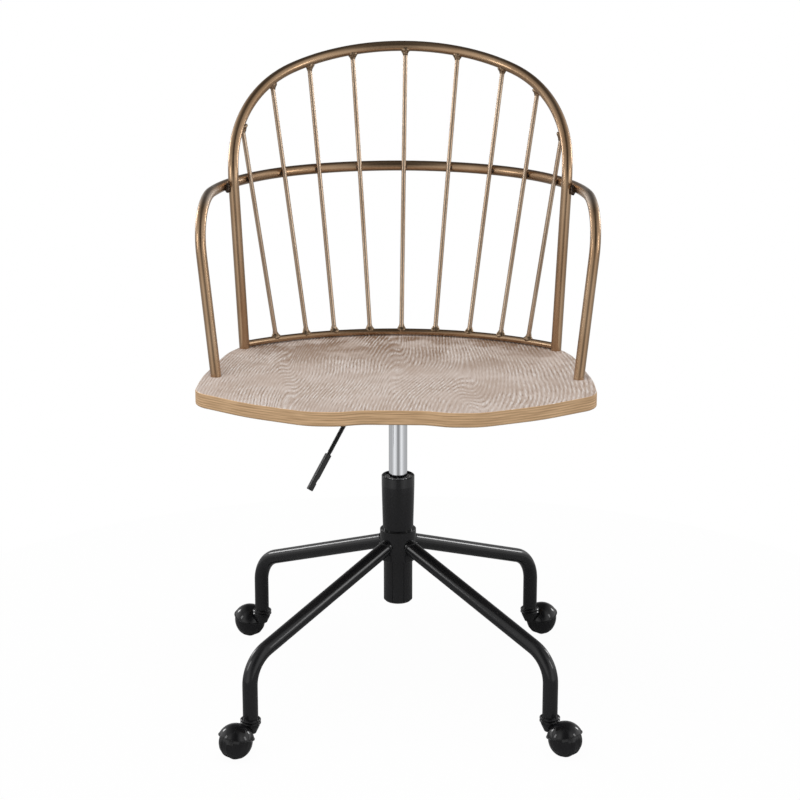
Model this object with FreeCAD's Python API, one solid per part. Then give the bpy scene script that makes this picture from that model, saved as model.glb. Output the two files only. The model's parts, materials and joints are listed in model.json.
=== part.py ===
import FreeCAD, Part
import math
import os
from FreeCAD import Placement, Rotation, Vector

# A swivel chair: a flat wooden seat with a barrel back of bent tubes, on a gas lift column and a
# four legged tube base with hooded twin wheel casters. Lengths are in millimetres, angles in
# degrees. The origin is on the floor under the column, +Z is up and the sitter faces -Y.

# Seat panel
seat_top = 522.5
seat_thickness = 22
seat_width = 582
seat_front_reach = 232
seat_back_reach = 222
seat_edge_round = 2.5

# Tubes of the back, and how far pieces that are welded or pressed together stand apart
frame_tube_radius = 8
frame_tube_wall = 1.2
bottom_rail_radius = 5
spindle_radius = 3.5
weld_gap = 0.1
press_gap = 0.03
running_gap = 0.05
moving_gap = 0.3
joining_gap = 0.01
overrun = 5

# Bottom rail, whose middle stands a little inside the seat's back edge
bottom_rail_inset = 30
bottom_rail_back = seat_back_reach - bottom_rail_inset
bottom_rail_lift = 6

# Arm rail: a level arch with toed in sides, its ends bent down to the seat. The arch's corners
# lie behind the bottom rail by these lengths. Of a side's run, the side arc takes one share and
# the bend down to the seat takes a share of what's left.
arm_rise = 255.5
arm_height = seat_top + arm_rise
arm_foot_inset = 23
arm_foot_across = seat_width / 2 - arm_foot_inset
arm_foot_forward = 51.9
arm_lean = 28
arm_half_width = arm_foot_across + arm_lean
arm_corner_forward = 22
arm_shoulder_across_share = 0.854
arm_shoulder_behind = -7.2
arm_crown_behind = 114.5
arm_side_arc_share = 0.5852
arm_bend_share = 0.896

# Bow: splayed legs, a bend backwards, then a side arc, the crown and the same again. The heights
# of its bend, its shoulder and its crown are shares of the arms' rise over the seat.
bow_foot_across_share = 0.8247
bow_foot_across = seat_width / 2 * bow_foot_across_share
bow_foot_back_share = 0.4923
bow_foot_back = seat_back_reach * bow_foot_back_share
bow_lean = 10.7
bow_across_at_arms = bow_foot_across + bow_lean
bow_shoulder_behind = -13.6
bow_crown_behind = 201.1
bow_side_arc_share = 0.8239
bow_height_shares = [1.0939, 1.5006, 1.8571]
bow_bend_height, bow_shoulder_height, bow_crown_height = [
    seat_top + arm_rise * share for share in bow_height_shares]

# Spindles: where they stand on the bottom rail and where they cross the arm rail, as shares of
# the half width between the bow's legs, from the left one to the right one. They are set by hand,
# so they don't stand quite evenly.
spindle_foot_shares = [-0.805, -0.613, -0.435, -0.205, 0, 0.220, 0.441, 0.644, 0.821]
spindle_cross_shares = [-0.915, -0.724, -0.517, -0.268, 0.007, 0.287, 0.544, 0.758, 0.931]

# Base: a hub with four legs, turned a little under the seat
hub_radius = 27.5
hub_height = 48.5
hub_below_legs = 32.2
base_turn = 2.5
leg_count = 4
leg_tube_radius = 11.3
leg_tube_wall = 1.8
leg_slope = 20
leg_axis_height = 253.2
hub_bottom = leg_axis_height - hub_below_legs
leg_bend_radius = 52
leg_reach = 310.2
leg_bottom = 53

# Gas lift column
column_top = 354.7
column_bottom = 152.8
column_radius = 25
column_foot_radius = 22
column_plain_top = 14.7
column_bore_radius = 20
bush_bore_radius = 22.6
bush_length = 50.5
bush_recess = 4.2
column_edge_round = 2.5
column_rim_round = 0.8
column_plate_recess = 6
column_plate_thickness = 3
cylinder_radius = 14
cylinder_wall = 2
cylinder_head = 30
cylinder_cone = 38
taper_angle = 1.4377
rod_radius = 5
rod_end_radius = 4
lift_up = 20
lift_down = 80

# Seat mechanism and its lever
pan_width = 116
pan_depth = 96
pan_wall = 2.5
pan_height = 30.5
pan_bottom = seat_top - seat_thickness - pan_height
pan_corner_radius = 12
pan_flange = 32
cylinder_rise = 6
cylinder_top = pan_bottom + cylinder_rise
taper_below_socket = 1.5
socket_radius = 19
socket_length = cylinder_cone - cylinder_rise + pan_wall - taper_below_socket
lever_turn = 35
lever_radius = 2.9
lever_rise = 9.3
lever_height = cylinder_top + lever_rise
lever_pivot = 26
lever_bend = 71.5
lever_bend_radius = 15
lever_slope = 55.8
lever_grip_start = 92.5
lever_grip_length = 60
grip_height = 8.6
grip_width = 7.4
button_radius = 3.5
button_gap = 0.5

# Casters
wheel_radius = 25
caster_trail = 30
hood_radius = 27.5
stem_radius = 5.5
collar_radius = 15.2
collar_height = 4.2
collar_ridge = 1.4


def revolved(outline):
    """Turn a closed outline of (radius, height) pairs right round the Z axis."""
    corners = [Vector(radius, 0, height) for radius, height in outline]
    face = Part.Face(Part.makePolygon(corners + corners[:1]))
    return face.revolve(Vector(0, 0, 0), Vector(0, 0, 1), 360)


def ring(inner, outer, low, high):
    """A plain ring round the Z axis."""
    return revolved([(inner, low), (outer, low), (outer, high), (inner, high)])


def disc(radius, low, high):
    """A plain cylinder on the Z axis."""
    return Part.makeCylinder(radius, high - low, Vector(0, 0, low))


def rounded_path(corners, radii):
    """Straight runs joined by tangent arcs, with one radius for each inner corner."""
    edges = []
    start = corners[0]
    for before, corner, after, radius in zip(corners, corners[1:], corners[2:], radii):
        way_in = (corner - before).normalize()
        way_out = (after - corner).normalize()
        half_turn = way_in.getAngle(way_out) / 2
        reach = radius * math.tan(half_turn)
        sag = radius / math.cos(half_turn) - radius
        first = corner - way_in * reach
        last = corner + way_out * reach
        if (first - start).Length > joining_gap:
            edges.append(Part.makeLine(start, first))
        else:
            first = start
        middle = corner + (way_out - way_in).normalize() * sag
        edges.append(Part.Arc(first, middle, last).toShape())
        start = last
    edges.append(Part.makeLine(start, corners[-1]))
    return edges


def swept(edges, radius, bore=0):
    """A round bar or tube along a path: a cylinder for each run and part of a torus for each arc."""
    pieces = []
    for edge in edges:
        start = edge.valueAt(edge.FirstParameter)
        heading = edge.tangentAt(edge.FirstParameter)
        section = Part.Face(Part.Wire(Part.makeCircle(radius, start, heading)))
        if bore:
            section = section.cut(Part.Face(Part.Wire(Part.makeCircle(bore, start, heading))))
        if isinstance(edge.Curve, Part.Circle):
            turn = math.degrees(edge.LastParameter - edge.FirstParameter)
            pieces.append(section.revolve(edge.Curve.Center, edge.Curve.Axis, turn))
        else:
            pieces.append(section.extrude(heading * edge.Length))
    if pieces[1:]:
        return one_solid(pieces[0].multiFuse(pieces[1:], joining_gap))
    return one_solid(pieces[0])


def turned(shape, angle):
    """A copy of a shape turned about the column."""
    copy = shape.copy()
    copy.rotate(Vector(0, 0, 0), Vector(0, 0, 1), angle)
    return copy


def one_solid(shape):
    """The largest solid of a shape, with its split faces joined."""
    return max(shape.Solids, key=lambda solid: solid.Volume).removeSplitter()


def leg_angles():
    """The legs' directions, counted from the front left one round the column."""
    first = 225
    return [first + base_turn + 360 * index / leg_count for index in range(leg_count)]


# Base


def hub_tube():
    """The short tube that the legs are welded to, bored to the column's taper."""
    hub_top = hub_bottom + hub_height
    edge = column_rim_round
    return revolved([
        (column_outer_radius(hub_bottom) + press_gap, hub_bottom),
        (hub_radius - edge, hub_bottom),
        (hub_radius, hub_bottom + edge),
        (hub_radius, hub_top - edge),
        (hub_radius - edge, hub_top),
        (column_outer_radius(hub_top) + press_gap, hub_top),
    ])


def leg():
    """One bent leg tube along +X, its upper end cut to the round of the hub."""
    drop = math.tan(math.radians(leg_slope))
    path = rounded_path([
        Vector(0, 0, leg_axis_height),
        Vector(leg_reach, 0, leg_axis_height - leg_reach * drop),
        Vector(leg_reach, 0, leg_bottom),
    ], [leg_bend_radius])
    hub = disc(hub_radius + press_gap, hub_bottom - hub_height, hub_bottom + hub_height * 2)
    return one_solid(swept(path, leg_tube_radius, leg_tube_radius - leg_tube_wall).cut(hub))


socket_insert_length = 30


def collar_foot():
    """The height of the lower face of the collar under a leg."""
    return leg_bottom - weld_gap - collar_height


def caster_socket():
    """The insert in a leg's end that the caster's stem turns in, with its ridged collar."""
    bore = stem_radius + running_gap
    plug = leg_tube_radius - leg_tube_wall - press_gap
    rim = collar_foot() + collar_height
    return revolved([
        (bore, collar_foot()),
        (collar_radius - collar_ridge, collar_foot()),
        (collar_radius, collar_foot() + collar_ridge),
        (collar_radius, rim - collar_ridge),
        (collar_radius - collar_ridge, rim),
        (plug, rim),
        (plug, leg_bottom + socket_insert_length),
        (bore, leg_bottom + socket_insert_length),
    ])


def caster_sockets():
    """The four caster sockets as separate solids."""
    sockets = []
    for angle in leg_angles():
        socket = caster_socket()
        socket.translate(Vector(leg_reach, 0, 0))
        sockets.append(turned(socket, angle))
    return Part.makeCompound(sockets)


# Column


def column_outer_radius(height):
    """The column's outer radius where it tapers into the hub."""
    taper_top = column_top - column_plain_top
    share = (taper_top - height) / (taper_top - hub_bottom)
    return column_radius + (column_foot_radius - column_radius) * min(max(share, 0), 1)


def column_tube():
    """The column's outer tube, with the bush's seat at the top and a plate near its lower end."""
    bush_seat = column_top - bush_recess - bush_length
    plate_bottom = column_bottom + column_plate_recess
    plate_top = plate_bottom + column_plate_thickness
    recess_radius = column_bore_radius - column_plate_thickness
    hole = rod_end_radius + running_gap
    return revolved([
        (hole, plate_bottom),
        (recess_radius, plate_bottom),
        (recess_radius, column_bottom),
        (column_foot_radius - column_edge_round, column_bottom),
        (column_foot_radius, column_bottom + column_edge_round),
        (column_foot_radius, hub_bottom),
        (column_radius, column_top - column_plain_top),
        (column_radius, column_top - column_rim_round),
        (column_radius - column_rim_round, column_top),
        (bush_bore_radius, column_top),
        (bush_bore_radius, bush_seat),
        (column_bore_radius, bush_seat),
        (column_bore_radius, plate_top),
        (hole, plate_top),
    ])


def guide_bush():
    """The plastic bush that the chrome cylinder slides in, with a groove in its top face."""
    top = column_top - bush_recess
    bottom = top - bush_length
    outer = bush_bore_radius - press_gap
    bore = cylinder_radius + running_gap
    groove = (outer - bore) / 3
    return revolved([
        (bore, bottom + press_gap),
        (outer, bottom + press_gap),
        (outer, top),
        (outer - groove, top),
        (outer - groove * 6 / 5, top - groove),
        (bore + groove * 6 / 5, top - groove),
        (bore + groove, top),
        (bore, top),
    ])


# The thrust bearing at the column's foot: heights of its pieces from the plate upwards
bearing_washer = 1.5
roller_radius = 2
roller_length = 6
roller_count = 6
bearing_outer_radius = 13
bearing_low = column_bottom + column_plate_recess + column_plate_thickness
rollers_low = bearing_low + bearing_washer
rollers_high = rollers_low + roller_radius * 2 + weld_gap
rod_shoulder = rollers_high + bearing_washer
bumper_height = 10


def thrust_bearing():
    """The lower washer, the cage and its rollers, which stay with the column."""
    cage_low = rollers_low + roller_radius / 2
    inner = rod_end_radius + moving_gap
    start = (bearing_outer_radius + inner - roller_length) / 2
    middle = rollers_low + roller_radius
    washer = ring(inner, bearing_outer_radius, bearing_low, rollers_low)
    cage = ring(inner, bearing_outer_radius - moving_gap, cage_low, cage_low + roller_radius)
    roller = Part.makeCylinder(roller_radius, roller_length, Vector(start, 0, middle), Vector(1, 0, 0))
    pocket = Part.makeCylinder(roller_radius + press_gap, roller_length + press_gap * 2,
                               Vector(start - press_gap, 0, middle), Vector(1, 0, 0))
    rollers = []
    for index in range(roller_count):
        angle = 360 * index / roller_count
        cage = cage.cut(turned(pocket, angle))
        rollers.append(turned(roller, angle))
    return Part.makeCompound([washer, cage] + rollers)


def bearing_upper_washer():
    """The washer that the rod's shoulder rests on."""
    return ring(rod_end_radius + press_gap, bearing_outer_radius, rollers_high, rod_shoulder)


def stop_bumper():
    """The rubber ring round the rod that ends the downward travel."""
    round_off = 2
    outer = bearing_outer_radius - press_gap
    inner = rod_radius + press_gap
    top = rod_shoulder + bumper_height
    return revolved([
        (inner, rod_shoulder),
        (outer, rod_shoulder),
        (outer, top - round_off),
        (outer - round_off, top),
        (inner, top),
    ])


# The cylinder rides on the rod: its foot clears the bumper when the seat is lowest, and the guide
# in it clears the piston when the seat is highest
foot_clearance = 1.5
cylinder_foot = rod_shoulder + bumper_height + lift_down + foot_clearance
guide_length = 25
piston_clearance = 4.6
piston_low = cylinder_foot + cylinder_wall + guide_length + lift_up + piston_clearance
piston_height = 14
clip_height = 1.2
clip_groove_radius = 3.2
rod_tail = 4


def rod_clip():
    """The open clip under the column's plate that keeps the rod from lifting out."""
    clip_radius = 7
    opening = 4
    top = column_bottom + column_plate_recess - moving_gap
    body = ring(clip_groove_radius + press_gap, clip_radius, top - clip_height, top)
    mouth = Part.makeBox(clip_radius, opening, clip_height)
    mouth.translate(Vector(0, -opening / 2, top - clip_height))
    return body.cut(mouth)


def piston_rod():
    """The rod, stepped at its foot and grooved for the clip, with the piston at its top."""
    plate_bottom = column_bottom + column_plate_recess
    groove_top = plate_bottom - moving_gap + press_gap
    groove_low = groove_top - clip_height - press_gap * 2
    piston_radius = cylinder_radius - cylinder_wall - running_gap
    seal = 1
    top = piston_low + piston_height
    return revolved([
        (0, groove_low - rod_tail),
        (rod_end_radius, groove_low - rod_tail),
        (rod_end_radius, groove_low),
        (clip_groove_radius, groove_low),
        (clip_groove_radius, groove_top),
        (rod_end_radius, groove_top),
        (rod_end_radius, rod_shoulder),
        (rod_radius, rod_shoulder),
        (rod_radius, piston_low),
        (piston_radius, piston_low),
        (piston_radius, piston_low + piston_height / 3),
        (piston_radius - seal, piston_low + piston_height / 3),
        (piston_radius - seal, top - piston_height / 3),
        (piston_radius, top - piston_height / 3),
        (piston_radius, top),
        (0, top),
    ])


def cone_radius(height):
    """The cylinder's outer radius, which tapers near its top."""
    above = max(height - (cylinder_top - cylinder_cone), 0)
    return cylinder_radius - above * math.tan(math.radians(taper_angle))


def gas_cylinder():
    """The chrome cylinder: open below, with a tapered solid head bored for the release button."""
    lip = 1.5
    bore = cylinder_radius - cylinder_wall
    valve = button_radius + running_gap
    return revolved([
        (bore, cylinder_foot),
        (cylinder_radius - lip, cylinder_foot),
        (cylinder_radius, cylinder_foot + lip),
        (cylinder_radius, cylinder_top - cylinder_cone),
        (cone_radius(cylinder_top), cylinder_top),
        (valve, cylinder_top),
        (valve, cylinder_top - cylinder_head),
        (bore, cylinder_top - cylinder_head),
    ])


def cylinder_rod_guide():
    """The guide and seal in the cylinder's foot that the rod runs through."""
    outer = cylinder_radius - cylinder_wall - press_gap
    low = cylinder_foot + cylinder_wall
    return ring(rod_radius + running_gap, outer, low, low + guide_length)


def release_button():
    """The pin in the cylinder's head that the lever pushes down."""
    dome = 1
    low = cylinder_top - cylinder_head * 2 / 3
    top = lever_height - lever_radius - button_gap
    return revolved([
        (0, low),
        (button_radius, low),
        (button_radius, top - dome),
        (button_radius - dome, top),
        (0, top),
    ])


# Mechanism under the seat


def rounded_block(width, depth, low, high, corner):
    """A block centred on the column with rounded upright edges."""
    block = Part.makeBox(width, depth, high - low, Vector(-width / 2, -depth / 2, low))
    upright = [edge for edge in block.Edges if edge.BoundBox.ZLength > (high - low) / 2]
    return block.makeFillet(corner, upright)


def pan_screw_places():
    """Where the four screws go through the pan's flange."""
    across = (pan_width + pan_flange) / 2
    along = (pan_depth + pan_flange) / 2
    return [Vector(x, y, 0) for x in (-across, across) for y in (-along, along)]


def seat_bottom():
    """The height of the seat's lower face."""
    return seat_top - seat_thickness


def lever_slot():
    """The opening in the pan's side that the lever passes through."""
    room = 4
    drop = 6
    length = pan_width
    width = (lever_radius + room) * 2
    height = seat_bottom() - overrun - lever_height + lever_radius + drop
    slot = Part.makeBox(length, width, height,
                        Vector(lever_pivot + room * 2, -width / 2, lever_height - lever_radius - drop))
    return turned(slot, 180 + lever_turn)


screw_radius = 3
pan_hole_radius = 3.4


def mechanism_pan():
    """The pressed pan under the seat, with its flange, screw holes and lever opening."""
    top = seat_bottom()
    flange = rounded_block(pan_width + pan_flange * 2, pan_depth + pan_flange * 2,
                           top - pan_wall, top, pan_corner_radius)
    shell = rounded_block(pan_width, pan_depth, pan_bottom, top - pan_wall, pan_corner_radius)
    inside = rounded_block(pan_width - pan_wall * 2, pan_depth - pan_wall * 2,
                           pan_bottom + pan_wall, top + overrun, pan_corner_radius - pan_wall)
    pan = flange.fuse(shell).cut(inside)
    pan = pan.cut(disc(socket_radius + press_gap, pan_bottom - overrun, pan_bottom + pan_wall * 2))
    for place in pan_screw_places():
        hole = disc(pan_hole_radius, top - pan_wall * 2, top + overrun)
        hole.translate(place)
        pan = pan.cut(hole)
    return one_solid(pan.cut(lever_slot()))


def cone_socket():
    """The tapered socket, welded in the pan's floor, that the cylinder's head wedges in."""
    top = pan_bottom + pan_wall
    low = top - socket_length
    edge = 1.2
    return revolved([
        (cone_radius(low) + press_gap, low),
        (socket_radius - edge, low),
        (socket_radius, low + edge),
        (socket_radius, top),
        (cone_radius(top) + press_gap, top),
    ])


eye_radius = 6
eye_width = 8
ear_thickness = 3
pin_radius = 2.5


def across_lever(radius, width, shift):
    """A cylinder along the lever's pivot axis, before the lever is turned to its direction."""
    start = Vector(lever_pivot, shift - width / 2, lever_height)
    return Part.makeCylinder(radius, width, start, Vector(0, 1, 0))


def lever_bracket():
    """The two ears on the pan's floor that hold the lever's pin."""
    floor = pan_bottom + pan_wall
    ears = []
    for side in (-1, 1):
        shift = side * ((eye_width + ear_thickness) / 2 + moving_gap)
        post = Part.makeBox(eye_radius * 2, ear_thickness, lever_height - floor,
                            Vector(lever_pivot - eye_radius, shift - ear_thickness / 2, floor))
        ear = post.fuse(across_lever(eye_radius, ear_thickness, shift))
        ears.append(turned(ear.cut(across_lever(pin_radius + press_gap, ear_thickness * 2, shift)),
                           180 + lever_turn).removeSplitter())
    return Part.makeCompound(ears)


def lever_pin():
    """The pin that the lever turns on."""
    length = eye_width + ear_thickness * 2 + moving_gap * 4
    return turned(across_lever(pin_radius, length, 0), 180 + lever_turn)


def lever_path():
    """The lever's rod: level over the button, then down and out to the grip."""
    slope = math.radians(lever_slope)
    run = lever_grip_start + lever_grip_length - overrun
    end = Vector(lever_bend + run * math.cos(slope), 0, lever_height - run * math.sin(slope))
    start = Vector(-button_radius, 0, lever_height)
    return rounded_path([start, Vector(lever_bend, 0, lever_height), end], [lever_bend_radius])


def lever_rod():
    """The bent rod with the eye that it turns on."""
    rod = swept(lever_path(), lever_radius).fuse(across_lever(eye_radius, eye_width, 0))
    rod = rod.cut(across_lever(pin_radius + running_gap, eye_width * 2, 0))
    return turned(one_solid(rod), 180 + lever_turn)


def lever_grip():
    """The flat plastic grip pushed on the rod, with a finger notch below near its end."""
    edge = 1
    notch_start_share = 0.64
    notch_shares = [(0, 0), (0.03, 0.16), (0.10, 0.22), (0.14, 0.22), (0.17, 0)]
    body = Part.makeBox(lever_grip_length, grip_width, grip_height,
                        Vector(0, -grip_width / 2, -grip_height / 2))
    body = body.makeChamfer(edge, body.Edges)
    points = []
    for along, deep in notch_shares:
        x = (notch_start_share + along) * lever_grip_length
        points.append(Vector(x, -grip_width, deep * grip_height - grip_height / 2))
    points.insert(0, points[0] - Vector(0, 0, grip_height))
    points.append(points[-1] - Vector(0, 0, grip_height))
    notch = Part.Face(Part.makePolygon(points + points[:1])).extrude(Vector(0, grip_width * 2, 0))
    bore = Part.makeCylinder(lever_radius + press_gap, lever_grip_length - overrun + press_gap,
                             Vector(0, 0, 0), Vector(1, 0, 0))
    grip = body.cut(notch).cut(bore)
    slope = math.radians(lever_slope)
    grip.Placement = Placement(
        Vector(lever_bend + lever_grip_start * math.cos(slope), 0,
               lever_height - lever_grip_start * math.sin(slope)),
        Rotation(Vector(0, 1, 0), lever_slope))
    return turned(one_solid(grip), 180 + lever_turn)


def head_screw(shank, length, head, head_height, socket):
    """A screw that points up: a round head at height 0 below, with a hexagon socket."""
    body = disc(shank, head_height, head_height + length).fuse(disc(head, 0, head_height))
    turns = [math.pi * side / 3 for side in range(6)]
    hexagon = [Vector(socket * math.cos(turn), socket * math.sin(turn), 0) for turn in turns]
    recess = Part.Face(Part.makePolygon(hexagon + hexagon[:1])).extrude(
        Vector(0, 0, head_height * 2 / 3))
    return body.cut(recess)


pan_screw_length = 16
screw_head_radius = 5.5
screw_head_height = 3.6
socket_key_radius = 2.3
insert_radius = 5
insert_length = 15


def pan_screws():
    """The four screws that hold the pan to the seat."""
    low = seat_bottom() - pan_wall - screw_head_height - press_gap
    screws = []
    for place in pan_screw_places():
        screw = head_screw(screw_radius, pan_screw_length - screw_head_height,
                           screw_head_radius, screw_head_height, socket_key_radius)
        screw.translate(place + Vector(0, 0, low))
        screws.append(screw)
    return Part.makeCompound(screws)


def seat_inserts():
    """The four threaded inserts in the seat's underside."""
    low = seat_bottom()
    inserts = []
    for place in pan_screw_places():
        insert = ring(screw_radius + press_gap, insert_radius, low, low + insert_length)
        insert.translate(place)
        inserts.append(insert)
    return Part.makeCompound(inserts)


# Seat


def arm_foot(side):
    """Where an arm's tube stands on the seat."""
    return Vector(side * arm_foot_across, -arm_foot_forward, seat_top)


def bow_foot(side):
    """Where a leg of the bow stands on the seat."""
    return Vector(side * bow_foot_across, bow_foot_back, seat_top)


def frame_feet():
    """The feet of the arm rail and the bow."""
    return [arm_foot(-1), arm_foot(1), bow_foot(-1), bow_foot(1)]


def seat_outline():
    """The seat's plan: a double curved front edge, round front corners and a narrower back."""
    half = seat_width / 2
    front = -seat_front_reach
    back = seat_back_reach
    right_shares = [
        (0, 0.957, None),
        (0.155, 0.957, 0.22),
        (0.27, 1.002, 0.22),
        (0.42, 1.0, 0.33),
        (0.73, 0.825, 1.0),
        (1.005, 0.585, 0.13),
        (0.995, 0.24, 1.2),
    ]
    rear_shares = [
        (0.905, 0.41, 0.6),
        (0.69, 0.835, 0.45),
        (0.29, 1.0, 0.5),
    ]
    points = [Vector(x * half, y * front, 0) for x, y, _ in right_shares]
    points += [Vector(x * half, y * back, 0) for x, y, _ in rear_shares]
    radii = [turn * half for _, _, turn in right_shares[1:] + rear_shares]
    mirrored = [Vector(-point.x, point.y, 0) for point in reversed(points[1:])]
    corners = points + mirrored + points[:1]
    return Part.Wire(rounded_path(corners, radii + radii[::-1]))


foot_hole_radius = 3.3
counterbore_radius = 6
counterbore_depth = 4.4


def seat_panel():
    """The wooden seat, with eased edges and the holes for its screws and inserts."""
    panel = Part.Face(seat_outline()).extrude(Vector(0, 0, seat_thickness))
    level = [edge for edge in panel.Edges if edge.BoundBox.ZLength < weld_gap]
    panel = panel.makeFillet(seat_edge_round, level)
    panel.translate(Vector(0, 0, seat_bottom()))
    for foot in frame_feet():
        hole = disc(foot_hole_radius, seat_bottom() - overrun, seat_top + overrun)
        hole = hole.fuse(disc(counterbore_radius, seat_bottom() - overrun,
                              seat_bottom() + counterbore_depth))
        hole.translate(Vector(foot.x, foot.y, 0))
        panel = panel.cut(hole)
    for place in pan_screw_places():
        hole = disc(insert_radius + press_gap, seat_bottom() - overrun,
                    seat_bottom() + insert_length + weld_gap)
        hole.translate(place)
        panel = panel.cut(hole)
    return panel


# Back


def arm_corner(side):
    """The corner where an arm's front end turns down."""
    return Vector(side * arm_half_width, -arm_corner_forward, arm_height)


def arm_arch(inset):
    """Corners and radii of the arm rail's level run, or of a curve that lies inside it."""
    front = arm_corner(1)
    shoulder = Vector(arm_half_width * arm_shoulder_across_share,
                      bottom_rail_back + arm_shoulder_behind, arm_height)
    top = Vector(0, bottom_rail_back + arm_crown_behind, arm_height)
    side = shoulder - front
    crown = top - shoulder
    side_reach = side.Length * arm_side_arc_share
    crown_reach = crown.Length - side_reach
    side_radius = side_reach / math.tan(side.getAngle(crown) / 2)
    crown_radius = crown_reach / math.tan(math.atan2(crown.y, -crown.x))
    inward = [Vector(-way.y, way.x, 0).normalize() for way in (side, crown)]
    front = front + inward[0] * inset
    shoulder = shoulder + (inward[0] + inward[1]) * (inset / (1 + inward[0].dot(inward[1])))
    top = top + Vector(0, inset / inward[1].y, 0)
    left = [Vector(-corner.x, corner.y, corner.z) for corner in (front, shoulder)]
    return (left + [top, shoulder, front],
            [side_radius - inset, crown_radius - inset, side_radius - inset])


def arm_path(below_seat):
    """The arm rail's centre line, its feet carried a little below the seat's top."""
    corners, radii = arm_arch(0)
    feet = []
    for side in (-1, 1):
        down = (arm_foot(side) - arm_corner(side)).normalize()
        feet.append(arm_foot(side) + down * below_seat)
    run = corners[1] - corners[0]
    bend_reach = run.Length * (1 - arm_side_arc_share) * arm_bend_share
    bend_radius = bend_reach / math.tan((corners[0] - feet[0]).getAngle(run) / 2)
    return rounded_path([feet[0]] + corners + [feet[1]], [bend_radius] + radii + [bend_radius])


def beside_arm_rail(across, distance):
    """The point at a distance inside the arm rail's centre line, and the way to its inside."""
    crown_corner = bottom_rail_back + arm_crown_behind
    probe = Part.makeLine(Vector(across, 0, arm_height), Vector(across, crown_corner, arm_height))
    curve = Part.Wire(rounded_path(*arm_arch(distance)))
    point = curve.distToShape(probe)[1][0][0]
    middle = Part.Wire(rounded_path(*arm_arch(0))).distToShape(Part.Vertex(point))[1][0][0]
    return point, (point - middle).normalize()


def rail_contact(foot, across, radius):
    """Where a straight piece of a radius that leans on the arm rail's inside passes it."""
    contact = frame_tube_radius + radius + weld_gap
    point, inward = beside_arm_rail(across, contact)
    lean = (point - foot).dot(inward) / (arm_height - foot.z)
    return beside_arm_rail(across, contact * math.hypot(1, lean))[0]


def bow_leg_point(side, height):
    """A point on the straight centre line of one of the bow's legs."""
    foot = bow_foot(1)
    at_arms = rail_contact(foot, bow_across_at_arms, frame_tube_radius)
    point = foot + (at_arms - foot) * ((height - seat_top) / (arm_height - seat_top))
    return Vector(side * point.x, point.y, point.z)


def bow_path(below_seat):
    """The bow's centre line, its feet carried a little below the seat's top."""
    left = bow_leg_point(-1, bow_bend_height)
    right = bow_leg_point(1, bow_bend_height)
    shoulder_back = bottom_rail_back + bow_shoulder_behind
    shoulders = [Vector(bend.x, shoulder_back, bow_shoulder_height) for bend in (left, right)]
    crown = Vector(0, bottom_rail_back + bow_crown_behind, bow_crown_height)
    path = [bow_leg_point(-1, seat_top - below_seat), left, shoulders[0], crown,
            shoulders[1], right, bow_leg_point(1, seat_top - below_seat)]
    side_turn = (shoulders[0] - left).getAngle(crown - shoulders[0])
    side_reach = (shoulders[0] - left).Length * bow_side_arc_share
    bend_turn = (left - path[0]).getAngle(shoulders[0] - left)
    bend_reach = (shoulders[0] - left).Length - side_reach
    crown_turn = (crown - shoulders[0]).getAngle(shoulders[1] - crown)
    crown_reach = (crown - shoulders[0]).Length - side_reach
    bend_radius = bend_reach / math.tan(bend_turn / 2)
    side_radius = side_reach / math.tan(side_turn / 2)
    crown_radius = crown_reach / math.tan(crown_turn / 2)
    return rounded_path(path, [bend_radius, side_radius, crown_radius, side_radius, bend_radius])


def below_seat_block():
    """A block under the seat's top face, for cutting the tubes' feet level."""
    size = seat_width * 2
    return Part.makeBox(size, size, size, Vector(-size / 2, -size / 2, seat_top - size))


def arm_rail():
    """The arm rail with its two front legs, cut level where it stands on the seat."""
    rail = swept(arm_path(frame_tube_radius), frame_tube_radius, frame_tube_radius - frame_tube_wall)
    return one_solid(rail.cut(below_seat_block()))


def bow():
    """The bow of the back, cut level where it stands on the seat."""
    hoop = swept(bow_path(frame_tube_radius), frame_tube_radius, frame_tube_radius - frame_tube_wall)
    return one_solid(hoop.cut(below_seat_block()))


def bottom_rail_height():
    """The height of the bottom rail's centre line."""
    return seat_top + bottom_rail_lift


def bottom_rail_arc():
    """The bottom rail's centre line, from leg to leg of the bow."""
    left = bow_leg_point(-1, bottom_rail_height())
    right = bow_leg_point(1, bottom_rail_height())
    back = Vector(0, bottom_rail_back, bottom_rail_height())
    return Part.Arc(left, back, right)


def bottom_rail(bow_room):
    """The thin rail above the seat, its ends cut to the round of the bow's legs."""
    bar = swept([bottom_rail_arc().toShape()], bottom_rail_radius)
    return one_solid(bar.cut(bow_room))


def on_bottom_rail(across):
    """The point of the bottom rail's centre line at a distance across."""
    radius = bottom_rail_arc().toShape().Curve.Radius
    depth = math.sqrt(radius ** 2 - across ** 2)
    return Vector(across, bottom_rail_back - radius + depth, bottom_rail_height())


def spindle(shares, bow_line, bow_room, rail_room):
    """One straight spindle from the bottom rail to the bow, cut to the round of both."""
    foot = on_bottom_rail(shares[0] * bow_foot_across)
    cross = rail_contact(foot, shares[1] * bow_across_at_arms, spindle_radius)
    heading = (cross - foot).normalize()
    far = foot + heading * (bow_crown_height - foot.z)
    top = bow_line.distToShape(Part.makeLine(foot, far))[1][0][1]
    bar = Part.makeCylinder(spindle_radius, (top - foot).Length, foot, heading)
    return one_solid(bar.cut(bow_room).cut(rail_room))


frame_insert_length = 18
frame_screw_length = 34


def frame_insert(foot, heading):
    """A threaded plug in the foot of a tube."""
    outer = frame_tube_radius - frame_tube_wall - press_gap
    plug = Part.makeCylinder(outer, frame_insert_length + frame_tube_radius,
                             foot - heading * frame_tube_radius, heading)
    thread = Part.makeCylinder(screw_radius + press_gap, frame_screw_length,
                               foot - Vector(0, 0, overrun), Vector(0, 0, 1))
    return one_solid(plug.cut(below_seat_block()).cut(thread))


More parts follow.
